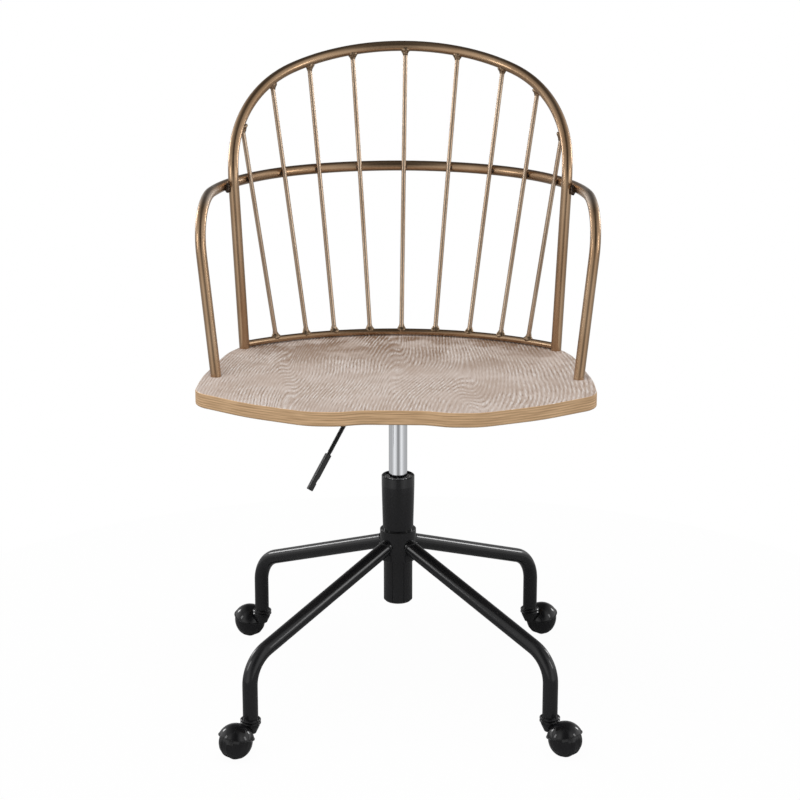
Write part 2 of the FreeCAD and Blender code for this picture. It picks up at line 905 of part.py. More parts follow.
def frame_inserts():
    """The four threaded plugs in the feet of the arm rail and the bow."""
    plugs = []
    for side in (-1, 1):
        heading = (arm_corner(side) - arm_foot(side)).normalize()
        plugs.append(frame_insert(arm_foot(side), heading))
        heading = (bow_leg_point(side, arm_height) - bow_foot(side)).normalize()
        plugs.append(frame_insert(bow_foot(side), heading))
    return Part.makeCompound(plugs)


def frame_screws():
    """The four screws through the seat into the feet of the back."""
    screws = []
    low = seat_bottom() + counterbore_depth - screw_head_height - press_gap
    for foot in frame_feet():
        screw = head_screw(screw_radius, frame_screw_length - screw_head_height,
                           screw_head_radius, screw_head_height, socket_key_radius)
        screw.translate(Vector(foot.x, foot.y, low))
        screws.append(screw)
    return Part.makeCompound(screws)


# Casters: each is modelled with its stem on the Z axis and its wheels trailing along +X
web_half_width = 2.2
wheel_gap = 0.4
wheel_half_span = 21
tread_width = 3.6
wheel_dome_shares = [(0.95, 0.36), (0.80, 0.60), (0.50, 0.78), (0.20, 0.84)]
axle_reach = wheel_half_span * 4 / 5
hood_wall = 1.3
hood_room_shares = [(0.945, 0.182), (0.760, 0.585), (0.290, 0.850), (0, 0.850)]
hood_lip_rise = 8
hood_tilt = 13
neck_radius = 8
neck_height = 18
axle_radius = 3
web_floor = 11.3
stem_foot = 37
stem_top = 80


def about_axle(outline, side):
    """Turn an outline of (radius, distance from the middle) pairs round the caster's axle."""
    solid = revolved([(radius, height) for radius, height in outline])
    solid.rotate(Vector(0, 0, 0), Vector(1, 0, 0), -90 * side)
    solid.translate(Vector(caster_trail, 0, wheel_radius))
    return solid


def caster_wheel(side):
    """One domed wheel, bored for the axle."""
    bore = axle_radius + running_gap
    inner = web_half_width + wheel_gap
    outline = [(bore, inner), (wheel_radius, inner), (wheel_radius, inner + tread_width)]
    outline += [(wheel_radius * across, wheel_radius * out) for across, out in wheel_dome_shares]
    outline += [(0, wheel_half_span), (0, axle_reach), (bore, axle_reach)]
    return about_axle(outline, side)


def caster_axle():
    """The axle through the hood's web, which carries both wheels."""
    reach = axle_reach - wheel_gap
    pin = Part.makeCylinder(axle_radius, reach * 2, Vector(0, -reach, 0), Vector(0, 1, 0))
    pin.translate(Vector(caster_trail, 0, wheel_radius))
    return pin


def hood_collar():
    """The ridged collar and the neck that slopes from it into the ball of the hood."""
    top = collar_foot() - moving_gap
    waist = collar_radius - collar_ridge * 3 / 2
    return revolved([
        (0, top),
        (collar_radius - collar_ridge, top),
        (collar_radius, top - collar_ridge),
        (collar_radius, top - collar_height + collar_ridge),
        (waist, top - collar_height),
        (waist, top - collar_height - collar_ridge * 2),
        (neck_radius, top - neck_height),
        (0, top - neck_height),
    ])


def caster_hood():
    """The hood: half a ball over the wheels, a web between them and the collar on its side."""
    centre = Vector(caster_trail, 0, wheel_radius)
    size = hood_radius * 4
    below = Part.makeBox(size, size, size, Vector(-size / 2, -size / 2, -size))
    below.rotate(Vector(0, 0, 0), Vector(0, 1, 0), -hood_tilt)
    below.translate(centre + Vector(0, 0, hood_lip_rise))
    cap = Part.makeSphere(hood_radius, centre).cut(below)
    web_slab = Part.makeBox(size, web_half_width * 2, size,
                            Vector(-hood_radius, -web_half_width, web_floor))
    web = Part.makeCylinder(hood_radius - hood_wall * 2, web_half_width * 2,
                            centre - Vector(0, web_half_width, 0), Vector(0, 1, 0)).common(web_slab)
    room = [(hood_radius * across, hood_radius * out) for across, out in hood_room_shares]
    room = [(0, web_half_width), (room[0][0], web_half_width)] + room
    hood = cap.fuse(hood_collar())
    for side in (-1, 1):
        hood = hood.cut(about_axle(room, side))
    hood = hood.fuse(web)
    hood = hood.cut(disc(stem_radius + press_gap, stem_foot, leg_bottom))
    axle_hole = Part.makeCylinder(axle_radius + press_gap, hood_radius,
                                  centre - Vector(0, hood_radius / 2, 0), Vector(0, 1, 0))
    return one_solid(hood.cut(axle_hole))


def caster_stem():
    """The stem that is pressed in the hood and turns in the leg's socket."""
    chamfer = 1.5
    groove = 0.8
    groove_width = 3
    groove_low = stem_top - groove_width * 4
    groove_high = groove_low + groove_width
    return revolved([
        (0, stem_foot + press_gap),
        (stem_radius, stem_foot + press_gap),
        (stem_radius, groove_low),
        (stem_radius - groove, groove_low),
        (stem_radius - groove, groove_high),
        (stem_radius, groove_high),
        (stem_radius, stem_top - chamfer),
        (stem_radius - chamfer, stem_top),
        (0, stem_top),
    ])


def place_caster(shape, angle):
    """Carry a caster's piece from its own place to the foot of a leg."""
    moved = shape.copy()
    moved.translate(Vector(leg_reach, 0, 0))
    return turned(moved, angle)


corner_names = ["front_left", "front_right", "rear_right", "rear_left"]


def build():
    """Make every sub-part under its name."""
    bow_line = Part.Wire(bow_path(0))
    bow_room = swept(bow_path(0), frame_tube_radius + press_gap)
    rail_room = swept([bottom_rail_arc().toShape()], bottom_rail_radius + press_gap)
    parts = {
        "hub_tube": hub_tube(),
        "caster_sockets": caster_sockets(),
        "column_tube": column_tube(),
        "guide_bush": guide_bush(),
        "thrust_bearing": thrust_bearing(),
        "bearing_upper_washer": bearing_upper_washer(),
        "piston_rod": piston_rod(),
        "rod_clip": rod_clip(),
        "stop_bumper": stop_bumper(),
        "gas_cylinder": gas_cylinder(),
        "cylinder_rod_guide": cylinder_rod_guide(),
        "release_button": release_button(),
        "mechanism_pan": mechanism_pan(),
        "cone_socket": cone_socket(),
        "lever_bracket": lever_bracket(),
        "lever_pin": lever_pin(),
        "lever_rod": lever_rod(),
        "lever_grip": lever_grip(),
        "pan_screws": pan_screws(),
        "seat_inserts": seat_inserts(),
        "seat_panel": seat_panel(),
        "arm_rail": arm_rail(),
        "bow": bow(),
        "bottom_rail": bottom_rail(bow_room),
        "frame_inserts": frame_inserts(),
        "frame_screws": frame_screws(),
    }
    for index, shares in enumerate(zip(spindle_foot_shares, spindle_cross_shares)):
        parts["spindle_" + str(index + 1)] = spindle(shares, bow_line, bow_room, rail_room)
    leg_shape = leg()
    hood = caster_hood()
    stem = caster_stem()
    axle = caster_axle()
    wheels = [caster_wheel(side) for side in (-1, 1)]
    for name, angle in zip(corner_names, leg_angles()):
        parts["leg_" + name] = turned(leg_shape, angle)
        caster = "caster_" + name
        parts[caster + "_hood"] = place_caster(hood, angle)
        parts[caster + "_stem"] = place_caster(stem, angle)
        parts[caster + "_axle"] = place_caster(axle, angle)
        for number, wheel in enumerate(wheels):
            parts[caster + "_wheel_" + str(number + 1)] = place_caster(wheel, angle)
    return parts


os.makedirs("parts", exist_ok=True)
for part_name, part_shape in build().items():
    part_shape.exportStep("parts/" + part_name + ".step")
    print(part_name, len(part_shape.Solids), part_shape.isValid(), round(part_shape.Volume))
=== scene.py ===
import bpy
import bmesh
import json
import math
from mathutils import Matrix, Vector, noise
from mathutils.bvhtree import BVHTree


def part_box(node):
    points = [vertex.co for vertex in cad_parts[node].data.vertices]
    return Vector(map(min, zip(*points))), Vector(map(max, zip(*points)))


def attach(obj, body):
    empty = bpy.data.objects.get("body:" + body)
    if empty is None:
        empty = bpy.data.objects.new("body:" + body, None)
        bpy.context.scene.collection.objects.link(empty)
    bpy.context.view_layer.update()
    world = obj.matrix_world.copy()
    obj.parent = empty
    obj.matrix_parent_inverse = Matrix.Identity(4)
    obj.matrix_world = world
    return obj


# A swivel desk chair with a wooden seat, a barrel back of bronze tubes, a gas lift column and a
# black tube base on hooded casters. Lengths are in metres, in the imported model's own frame.
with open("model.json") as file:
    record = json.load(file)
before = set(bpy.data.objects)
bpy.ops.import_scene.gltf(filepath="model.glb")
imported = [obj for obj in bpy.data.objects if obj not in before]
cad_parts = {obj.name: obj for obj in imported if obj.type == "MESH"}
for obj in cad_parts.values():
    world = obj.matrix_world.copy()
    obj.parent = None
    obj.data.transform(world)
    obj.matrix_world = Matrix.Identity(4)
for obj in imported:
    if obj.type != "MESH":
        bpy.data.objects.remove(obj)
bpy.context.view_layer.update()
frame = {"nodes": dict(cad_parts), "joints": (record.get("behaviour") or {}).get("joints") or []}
nodes = frame["nodes"]
joints = {joint["name"]: joint for joint in frame["joints"]}


# The studio: a round white floor in a surround that is dim behind the camera and overhead and has a
# bright window at each side, a large soft lamp above and a small one at each side in front and behind.
# The camera stands where the photograph was taken, in front of the chair and higher than it.
photo_width = 800
focal_length_px = 2434.8
camera_place = (0.0998, -3.510, 1.5062)
camera_down = 16.4
camera_turn = 1.58

camera = bpy.data.objects.new("camera", bpy.data.cameras.new("camera"))
camera.data.sensor_width = 36
camera.data.lens = camera.data.sensor_width * focal_length_px / photo_width
camera.location = camera_place
camera.rotation_euler = (math.radians(90 - camera_down), 0, math.radians(camera_turn))
bpy.context.scene.collection.objects.link(camera)
bpy.context.scene.camera = camera
bpy.context.scene.view_settings.view_transform = "Standard"


class Reading:
    """One output of a node, so that shader maths is written as sums."""

    def __init__(self, paint, socket):
        self.paint = paint
        self.socket = socket

    def __add__(self, other):
        return self.paint.work_out("ADD", self, other)

    def __sub__(self, other):
        return self.paint.work_out("SUBTRACT", self, other)

    def __rsub__(self, other):
        return self.paint.work_out("SUBTRACT", other, self)

    def __mul__(self, other):
        return self.paint.work_out("MULTIPLY", self, other)

    def __truediv__(self, other):
        return self.paint.work_out("DIVIDE", self, other)

    __radd__ = __add__
    __rmul__ = __mul__


class Paint:
    """The nodes of one material or of the world."""

    def __init__(self, tree):
        self.tree = tree

    def node(self, kind, settings=None, inputs=None, output=0):
        """Make a node, set it up, feed its inputs and give one of its outputs."""
        made = self.tree.nodes.new("ShaderNode" + kind)
        for name, value in (settings or {}).items():
            if name == "stops":
                while len(made.color_ramp.elements) < len(value):
                    made.color_ramp.elements.new(1)
                for element, (place, colour) in zip(made.color_ramp.elements, value):
                    element.position = place
                    element.color = (*colour, 1)
            else:
                setattr(made, name, value)
        for name, value in (inputs or {}).items():
            self.feed(made.inputs[name], value)
        return Reading(self, made.outputs[output])

    def feed(self, socket, value):
        """Link a reading to a socket, or set the socket to a constant."""
        if isinstance(value, Reading):
            self.tree.links.new(value.socket, socket)
        elif isinstance(value, tuple) and len(value) == 3 and len(socket.default_value) == 4:
            socket.default_value = (*value, 1)
        else:
            socket.default_value = value

    def work_out(self, operation, *values):
        """The result of one sum or function."""
        return self.node("Math", {"operation": operation}, dict(enumerate(values)))

    def split(self, place):
        """The three coordinates of a place or of a direction."""
        return [self.node("SeparateXYZ", {}, {"Vector": place}, output=axis) for axis in "XYZ"]

    def mix(self, share, first, second):
        """A colour between two others."""
        return self.node("Mix", {"data_type": "RGBA"}, {0: share, 6: first, 7: second}, output=2)

    def spread(self, value, low, high, to_low=0.0, to_high=1.0):
        """Carry a range of values over to another one and stop at its ends."""
        return self.node("MapRange", {"clamp": True}, {0: value, 1: low, 2: high, 3: to_low, 4: to_high})

    def grain(self, place, scale, detail=3.0):
        """Soft noise between 0 and 1."""
        return self.node("TexNoise", {}, {"Vector": place, "Scale": scale, "Detail": detail})

    def stretched(self, place, scales):
        """A place with each of its directions scaled by its own amount."""
        return self.node("Mapping", {}, {"Vector": place, "Scale": scales})


class Finish(Paint):
    """A material with one principled shader."""

    def __init__(self, name, **constants):
        self.material = bpy.data.materials.new(name)
        self.material.use_nodes = True
        super().__init__(self.material.node_tree)
        self.shader = self.tree.nodes["Principled BSDF"]
        for words, value in constants.items():
            self.feed(self.socket(words), value)
        self.place = self.node("TexCoord", output="Object")

    def socket(self, words):
        """The shader's input with that name, written in small letters with underscores."""
        return self.shader.inputs[words.replace("_", " ").title().replace("Ior", "IOR")]

    def show(self, **readings):
        """Feed what varies over the surface to the shader."""
        for words, value in readings.items():
            self.feed(self.socket(words), value)

    def relief(self, height, depth):
        """Turn a height into a bump of that depth in metres."""
        bump = self.node("Bump", {}, {"Height": height, "Distance": depth, "Strength": 1.0})
        self.feed(self.shader.inputs["Normal"], bump)

    def on(self, *names):
        """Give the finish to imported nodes."""
        for name in names:
            nodes[name].data.materials.clear()
            nodes[name].data.materials.append(self.material)


studio = bpy.data.worlds.new("studio")
bpy.context.scene.world = studio
studio.use_nodes = True
air = Paint(studio.node_tree)
levels_at_degrees = [(-180, 0.42), (-112, 0.50), (-78, 0.48), (-52, 0.85), (-40, 1.0), (-17, 0.7),
                     (-5, 0.32), (15, 0.32), (28, 0.7), (46, 1.0), (64, 0.75), (78, 0.58),
                     (100, 0.50), (180, 0.42)]
window_level = 0.6
ceiling_dimming = 0.78
aside, backward, upward = air.split(air.node("TexCoord", output="Generated"))
round_chair = air.work_out("ARCTAN2", aside, backward * -1.0) / (2 * math.pi) + 0.5
panel_stops = [(0.5 + degrees / 360, (level,) * 3) for degrees, level in levels_at_degrees]
panels = air.node("ValToRGB", {"stops": panel_stops}, {"Fac": round_chair})
sideways = air.work_out("ABSOLUTE", aside)
beside = air.spread(sideways, 0.45, 0.72) * air.spread(backward, -0.35, 0.10)
window = beside * air.spread(upward, 0.02, 0.14) * (1 - air.spread(upward, 0.50, 0.72))
ceiling = air.spread(upward, 0.05, 0.5) * (1 - air.spread(sideways, 0.25, 0.6))
below_dimming = air.spread(upward, -0.8, -0.35, 0.4, 1.0)
around = (panels * (1 - ceiling * ceiling_dimming) + window * window_level) * below_dimming
seen = air.node("LightPath", output="Is Camera Ray")
daylight = studio.node_tree.nodes["Background"]
daylight.inputs["Color"].default_value = (1, 1, 1, 1)
air.feed(daylight.inputs["Strength"], seen + (1 - seen) * around)

lamps_aim = Vector((0, 0, 0.5))


def soft_lamp(name, place, width, height, power, mirrored=True):
    """A rectangular lamp that is aimed at the chair and may be seen in its metal."""
    lamp = bpy.data.objects.new(name, bpy.data.lights.new(name, "AREA"))
    lamp.data.shape = "RECTANGLE"
    lamp.data.size = width
    lamp.data.size_y = height
    lamp.data.energy = power
    lamp.visible_glossy = mirrored
    lamp.location = place
    lamp.rotation_euler = (lamps_aim - Vector(place)).to_track_quat("-Z", "Y").to_euler()
    bpy.context.scene.collection.objects.link(lamp)


soft_lamp("lamp_left", (-2.2, -0.8, 1.2), 0.5, 0.9, 5)
soft_lamp("lamp_right", (2.2, -0.8, 1.2), 0.5, 0.9, 5)
soft_lamp("lamp_rear_left", (-2.1, 1.6, 1.1), 0.45, 0.6, 7)
soft_lamp("lamp_rear_right", (2.1, 1.6, 1.1), 0.45, 0.6, 7)
soft_lamp("lamp_top", (-0.4, -0.9, 3.2), 2.0, 2.0, 50, mirrored=False)

floor_radius = 0.95
plain_white_share = 0.97
disc = bmesh.new()
bmesh.ops.create_circle(disc, cap_ends=True, segments=96, radius=floor_radius)
floor = bpy.data.objects.new("floor", bpy.data.meshes.new("floor"))
disc.to_mesh(floor.data)
disc.free()
bpy.context.scene.collection.objects.link(floor)
floor_paint = Finish("floor_white")
white = floor_paint.node("Emission", {}, {"Color": (1.0, 1.0, 1.0), "Strength": 1.0})
shade = floor_paint.node("BsdfDiffuse", {}, {"Color": (0.88, 0.88, 0.88)})
mirrored_shade = floor_paint.node("BsdfDiffuse", {}, {"Color": (0.30, 0.30, 0.30)})
in_mirrors = floor_paint.node("LightPath", output="Is Glossy Ray")
in_camera = floor_paint.node("LightPath", output="Is Camera Ray")
lit = floor_paint.node("MixShader", {}, {0: in_mirrors, 1: shade, 2: mirrored_shade})
whole_floor = floor_paint.node("MixShader", {}, {0: in_camera * plain_white_share, 1: lit, 2: white})
floor_paint.feed(floor_paint.tree.nodes["Material Output"].inputs["Surface"], whole_floor)
floor.data.materials.append(floor_paint.material)


# The back: the arm rail, the bow, the bottom rail and nine spindles, all of steel tube or bar with
# a brushed antique bronze plating, cloudy from rubbing and rougher where the arms were bent, where a
# silver-grey painted highlight is also mixed into its colour. The spindles came out paler.
spindle_names = ["spindle_" + str(number + 1) for number in range(9)]
# Near the arms' bend a silver-grey painted highlight is mixed into the plating's colour, and the plating
# is rougher there.
arm_bend = (0.283, 0.040, 0.782)
bend_highlight_full_to = 0.018
bend_highlight_gone_from = 0.046
painted_bend_highlight = (0.56, 0.50, 0.44)


def plating(name, dark, light):
    """A brushed plated metal between a dark and a light colour."""
    metal = Finish(name, metallic=1.0, coat_weight=0.4, coat_roughness=0.2)
    cloudy = metal.grain(metal.place, 11.0, detail=2.0)
    brushing = metal.grain(metal.stretched(metal.place, (1.0, 1.0, 0.06)), 400.0, detail=1.0)
    rubbed = metal.spread(cloudy, 0.35, 0.65)
    across, along, height = metal.split(metal.place)
    from_middle = metal.work_out("ABSOLUTE", across)
    folded = metal.node("CombineXYZ", {}, {"X": from_middle, "Y": along, "Z": height})
    from_bend = metal.node("VectorMath", {"operation": "DISTANCE"}, {0: folded, 1: arm_bend},
                           output="Value")
    # Painted highlight near the bend: this share turns the colour silver-grey, and it also raises the
    # roughness.
    bend_highlight_and_dulling = 1 - metal.spread(from_bend, bend_highlight_full_to, bend_highlight_gone_from)
    plated_colour = metal.mix(brushing * 0.3 + rubbed * 0.55, dark, light)
    metal.show(base_color=metal.mix(bend_highlight_and_dulling * 0.7, plated_colour, painted_bend_highlight),
               roughness=0.22 + brushing * 0.05 + bend_highlight_and_dulling * 0.16)
    metal.relief(brushing, 0.000003)
    return metal


bronze = plating("bronze", (0.34, 0.205, 0.108), (0.50, 0.345, 0.215))
bronze.on("arm_rail", "bow", "bottom_rail")
pale_bronze = plating("pale_bronze", (0.42, 0.30, 0.205), (0.57, 0.445, 0.33))
pale_bronze.on(*spindle_names)


# The welds of the back: filleted lumps of the same metal, darkened and roughened by the heat, at
# both ends of a spindle and of the bottom rail, and small beads where a spindle or a leg of the bow
# touches the arm rail, coloured near black as painted shade at these contacts.
tube_radius = 0.008
spindle_radius = 0.0035
rail_radius = 0.005
arms_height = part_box("arm_rail")[1][2] - tube_radius
bow_half_width_at_arms = 0.2507
lumps_per_metre = 300

weld_metal = Finish("weld_metal", metallic=1.0)
beading = weld_metal.grain(weld_metal.place, 420.0, detail=3.0)
heated = weld_metal.spread(beading, 0.42, 0.66)
weld_metal.show(
    base_color=weld_metal.mix(heated, (0.15, 0.10, 0.06), (0.50, 0.37, 0.25)),
    roughness=0.24 + beading * 0.25)
weld_metal.relief(beading, 0.0002)
# Painted shade: the contact beads are near black to stand in for the shade where the tubes meet.
painted_contact_shade = plating("painted_contact_shade", (0.010, 0.007, 0.005), (0.09, 0.06, 0.04))


def lathe(profile, steps=20):
    """A profile of (radius, height) pairs turned right round the Z axis."""
    mesh = bmesh.new()
    rim = [mesh.verts.new((radius, 0, height)) for radius, height in profile]
    edges = [mesh.edges.new(pair) for pair in zip(rim, rim[1:])]
    bmesh.ops.spin(mesh, geom=rim + edges, axis=(0, 0, 1), angle=2 * math.pi, steps=steps, use_merge=True)
    bmesh.ops.remove_doubles(mesh, verts=mesh.verts, dist=1e-6)
    bmesh.ops.recalc_face_normals(mesh, faces=mesh.faces)
    return mesh


def lumpy(mesh, amount, seed):
    """Push a mesh's points in and out a little, like weld metal that has set."""
    for vertex in mesh.verts:
        vertex.co *= 1 + amount * noise.noise(vertex.co * lumps_per_metre + Vector((seed, seed, 0)))
    return mesh


def join(whole, part, place=(0, 0, 0), axis=(0, 0, 1), along=(1, 0, 0), scales=(1, 1, 1)):
    """Add a part to a mesh, its Z axis laid along an axis and its X axis along a tube."""
    up = Vector(axis).normalized()
    across = up.cross(Vector(along)).normalized()
    turn = Matrix((across.cross(up), across, up)).transposed().to_4x4()
    form = Matrix.Translation(place) @ turn @ Matrix.Diagonal((*scales, 1))
    bmesh.ops.transform(part, matrix=form, verts=part.verts)
    data = bpy.data.meshes.new("part")
    part.to_mesh(data)
    part.free()
    whole.from_mesh(data)
    bpy.data.meshes.remove(data)


def piece(name, mesh, body, finish):
    """Put a finished mesh in the scene as a piece that rides on a body."""
    data = bpy.data.meshes.new(name)
    mesh.to_mesh(data)
    mesh.free()
    data.shade_smooth()
    made = bpy.data.objects.new(name, data)
    bpy.context.scene.collection.objects.link(made)
    data.materials.append(finish.material)
    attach(made, body)


def spindle_ends(name):
    """The foot and the top of a spindle's centre line, from its box."""
    low, high = (Vector(corner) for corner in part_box(name))
    near, far = (low.x, high.x) if low.x + high.x > 0 else (high.x, low.x)
    inset = math.copysign(spindle_radius, far)
    foot = Vector((near + inset, low.y + spindle_radius, low.z))
    top = Vector((far - inset, high.y - spindle_radius, high.z))
    return foot, top


def surface(name):
    """A node's surface, for finding the point of it that is nearest to another one."""
    data = nodes[name].data
    return BVHTree.FromPolygons([vertex.co for vertex in data.vertices],
                                [face.vertices for face in data.polygons])


fillet = [(0, -0.0045), (0.0075, -0.004), (0.0084, -0.001), (0.0072, 0.0008), (0.0057, 0.003),
          (0.0045, 0.0055), (0.0037, 0.0076), (0.0033, 0.0084), (0, 0.0086)]
foot_fillet_lift = 0.0012
top_fillet_drop = 0.0010
foot_fillet_scales = (1, 0.72, 1)
top_fillet_scales = (1, 0.85, 1)
fillet_lumpiness = 0.16
small_bead = [(0, -0.0034), (0.0012, -0.0031), (0.0019, -0.0018), (0.0022, 0), (0.0019, 0.0018),
              (0.0012, 0.0031), (0, 0.0034)]
bead_stand_off = 0.0012
bead_half_gap = 0.0026
bead_lumpiness = 0.2

ends = [spindle_ends(name) for name in spindle_names]
rail_surface = surface("arm_rail")
welds = bmesh.new()
beads = bmesh.new()
for number, (foot, top) in enumerate(ends):
    up = (top - foot).normalized()
    before, after = ends[max(number - 1, 0)], ends[min(number + 1, len(ends) - 1)]
    join(welds, lumpy(lathe(fillet), fillet_lumpiness, number), foot + up * foot_fillet_lift, up,
         after[0] - before[0], foot_fillet_scales)
    join(welds, lumpy(lathe(fillet), fillet_lumpiness, number + 20), top - up * top_fillet_drop, -up,
         after[1] - before[1], top_fillet_scales)
    crossing = foot + up * ((arms_height - foot.z) / up.z)
    contact, outward = rail_surface.find_nearest(crossing)[:2]
    sideways = outward.cross(up).normalized()
    for side in (-1, 1):
        bead_place = contact + outward * bead_stand_off + sideways * side * bead_half_gap
        lump = lumpy(lathe(small_bead, steps=10), bead_lumpiness, number * side)
        join(beads, lump, bead_place, up, outward)

# Each bead at the bow is given by how far out and how far up it lies from the contact, and its size.
bow_beads = [(0.0080, -0.0042, 2.0), (0.0068, 0.0, 1.8), (-0.0060, -0.004, 1.7), (-0.0055, 0.003, 1.5)]
bow_bead_stand_off = 0.0016
bow_bead_flatness = 0.8
bow_bead_lumpiness = 0.25
bow_surface = surface("bow")
for side in (-1, 1):
    before_bow = Vector((side * bow_half_width_at_arms, -1, arms_height))
    front = bow_surface.ray_cast(before_bow, Vector((0, 1, 0)))[0]
    contact, outward = rail_surface.find_nearest(front + Vector((0, tube_radius, 0)))[:2]
    outer = Vector((outward.y, -outward.x, 0)).normalized() * -side
    for out, lift, size in bow_beads:
        bead_place = contact + outward * bow_bead_stand_off + outer * out + Vector((0, 0, lift))
        lump = lumpy(lathe(small_bead, steps=12), bow_bead_lumpiness, side * size)
        join(beads, lump, bead_place, (0, 0, 1), outward, (size, size, size * bow_bead_flatness))

rail_fillet_breadth = 1.25
rail_fillet = [(radius * rail_fillet_breadth, height) for radius, height in fillet]
rail_fillet_scales = (0.86, 0.86, 0.8)
rail_fillet_lumpiness = 0.18
rail_end_inset = 0.001
rail_fillet_sink = 0.0005
rail_low, rail_high = (Vector(corner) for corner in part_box("bottom_rail"))
rail_rise = rail_high.y - rail_low.y - 2 * rail_radius
rail_angle = 2 * math.atan(rail_rise / rail_high.x)
for side in (-1, 1):
    end = Vector((side * (rail_high.x - rail_end_inset), rail_low.y + rail_radius,
                  rail_high.z - rail_radius))
    inward = Vector((-side * math.cos(rail_angle), math.sin(rail_angle), 0))
    lump = lumpy(lathe(rail_fillet), rail_fillet_lumpiness, side + 50)
    join(welds, lump, end - inward * rail_fillet_sink, inward, (0, 0, 1), rail_fillet_scales)
piece("frame_welds", welds, "seat", weld_metal)
# The beads at the contacts wear the near-black painted shade.
piece("contact_shade_beads", beads, "seat", painted_contact_shade)


# The seat: a board of open grained wood, brushed and whitewashed on top, so that its growth rings
# stand out in white and brown lines, and chipped a little at the rim. The eased edge keeps the tan
# of the wood and its layers, and the underside is coloured dark brown as painted shade.
bleached = (0.60, 0.50, 0.44)
weathered = (0.50, 0.395, 0.33)
brown_line = (0.26, 0.16, 0.10)
whitewash = (0.80, 0.745, 0.71)
chipped = (0.86, 0.83, 0.79)
edge_dark = (0.42, 0.255, 0.125)
edge_light = (0.72, 0.475, 0.265)
painted_underside_shade = (0.10, 0.08, 0.06)
rings_per_metre = 190
ring_widening = 60
ring_ripple = 0.0028
ring_sway = 0.02
ring_folds = [(-0.165, -0.06), (-0.005, 0.05), (0.112, -0.16)]
fold_half_width = 0.014
fold_reach = 0.13
fold_ripple = 0.005
fold_sway = 0.05
fold_shift = 2.6
fold_arch = 36
veneer_thickness = 0.0037

wood = Finish("whitewashed_wood")
across, along, height = wood.split(wood.place)
lean = wood.spread(across, 0.06, 0.19, 0.10, -0.04)
sway = wood.grain(wood.stretched(wood.place, (1.0, 0.5, 0.0)), 8.0, detail=2.0) - 0.5
ripple = wood.grain(wood.stretched(wood.place, (1.0, 0.6, 0.0)), 55.0, detail=2.0) - 0.5
grain_across = across - lean * along + ripple * ring_ripple + sway * ring_sway
rings = grain_across * (rings_per_metre - grain_across * ring_widening)
for fold_across, fold_along in ring_folds:
    beside_fold = (across + ripple * fold_ripple + sway * fold_sway - fold_across) / fold_half_width
    beyond_fold = along - fold_along
    reach_share = beyond_fold / fold_reach
    bell = wood.work_out("EXPONENT", beside_fold * beside_fold * -1.0)
    nearness = wood.work_out("EXPONENT", reach_share * reach_share * -1.0)
    step = wood.work_out("TANH", beside_fold)
    rings = rings - nearness * (step * fold_shift + bell * beyond_fold * fold_arch)
wave = wood.work_out("SINE", rings * (2 * math.pi))
in_grain = wood.node("CombineXYZ", {}, {"X": grain_across, "Y": along})
fibres = wood.grain(wood.stretched(in_grain, (1.0, 0.10, 1.0)), 480.0, detail=2.0) - 0.5
patches = wood.grain(wood.place, 14.0, detail=3.0)
strength = wood.spread(patches, 0.36, 0.62, 0.3, 1.0)
white_share = wood.spread(wave * 0.8 + fibres * 5.6, -0.1, 1.3) * strength
brown_share = wood.spread(wave * -0.8 + fibres * 6.4, 0.45, 1.4) * strength
blotches = wood.spread(wood.grain(wood.place, 22.0, detail=3.0), 0.40, 0.58)
stain = wood.spread(along, -0.02, 0.15) * blotches
bare = wood.spread(wood.grain(wood.place, 16.0, detail=2.0), 0.35, 0.65)
board = wood.mix(bare, bleached, weathered)
board = wood.mix(brown_share * 0.9 + stain * 0.95, board, brown_line)
top_colour = wood.mix(white_share * 0.9, board, whitewash)

layers = wood.grain(wood.stretched(wood.place, (0.03, 0.03, 1.0)), 800.0, detail=3.0)
veneer = wood.work_out("SINE", height * (2 * math.pi / veneer_thickness) + sway * 1.5)
facing = wood.split(wood.node("NewGeometry", output="Normal"))[2]
underneath = wood.spread(facing, -0.5, -0.9)
edge_colour = wood.mix(wood.spread(layers + veneer * 0.10, 0.3, 0.7), edge_dark, edge_light)
# Painted shade: faces that look down are coloured dark brown.
edge_colour = wood.mix(underneath, edge_colour, painted_underside_shade)
on_top = wood.spread(facing + (patches - 0.5) * 0.12, 0.74, 0.90)
on_rim = on_top * (1 - wood.spread(facing, 0.97, 0.995))
chips = on_rim * wood.spread(wood.grain(wood.place, 170.0, detail=1.0), 0.66, 0.70)
wood.show(
    base_color=wood.mix(chips, wood.mix(on_top, edge_colour, top_colour), chipped),
    roughness=0.60 - on_top * white_share * 0.10)
wood.relief(on_top * (wave * 0.4 + fibres * 1.2) * strength + (1 - on_top) * layers * 0.5, 0.0004)
wood.on("seat_panel")


# The gas lift: a chrome cylinder that slides in a greased plastic bush, a black steel outer tube,
# and inside it the rod, its bearing, clip and rubber bumper. The rod, the bearing, the clip and all
# the pins, screws and inserts of the chair are zinc plated.
chrome = Finish("chrome", base_color=(0.80, 0.815, 0.84), metallic=1.0)
polish = chrome.grain(chrome.stretched(chrome.place, (1.0, 1.0, 0.1)), 300.0)
chrome.show(roughness=0.06 + polish * 0.08)
chrome.on("gas_cylinder")

bush_plastic = Finish("bush_plastic")
grease = bush_plastic.grain(bush_plastic.place, 160.0, detail=4.0)
greased = bush_plastic.spread(grease, 0.4, 0.6)
bush_plastic.show(
    base_color=bush_plastic.mix(greased, (0.38, 0.38, 0.38), (0.74, 0.74, 0.73)),
    roughness=0.35 + grease * 0.2)
bush_plastic.on("guide_bush", "cylinder_rod_guide")

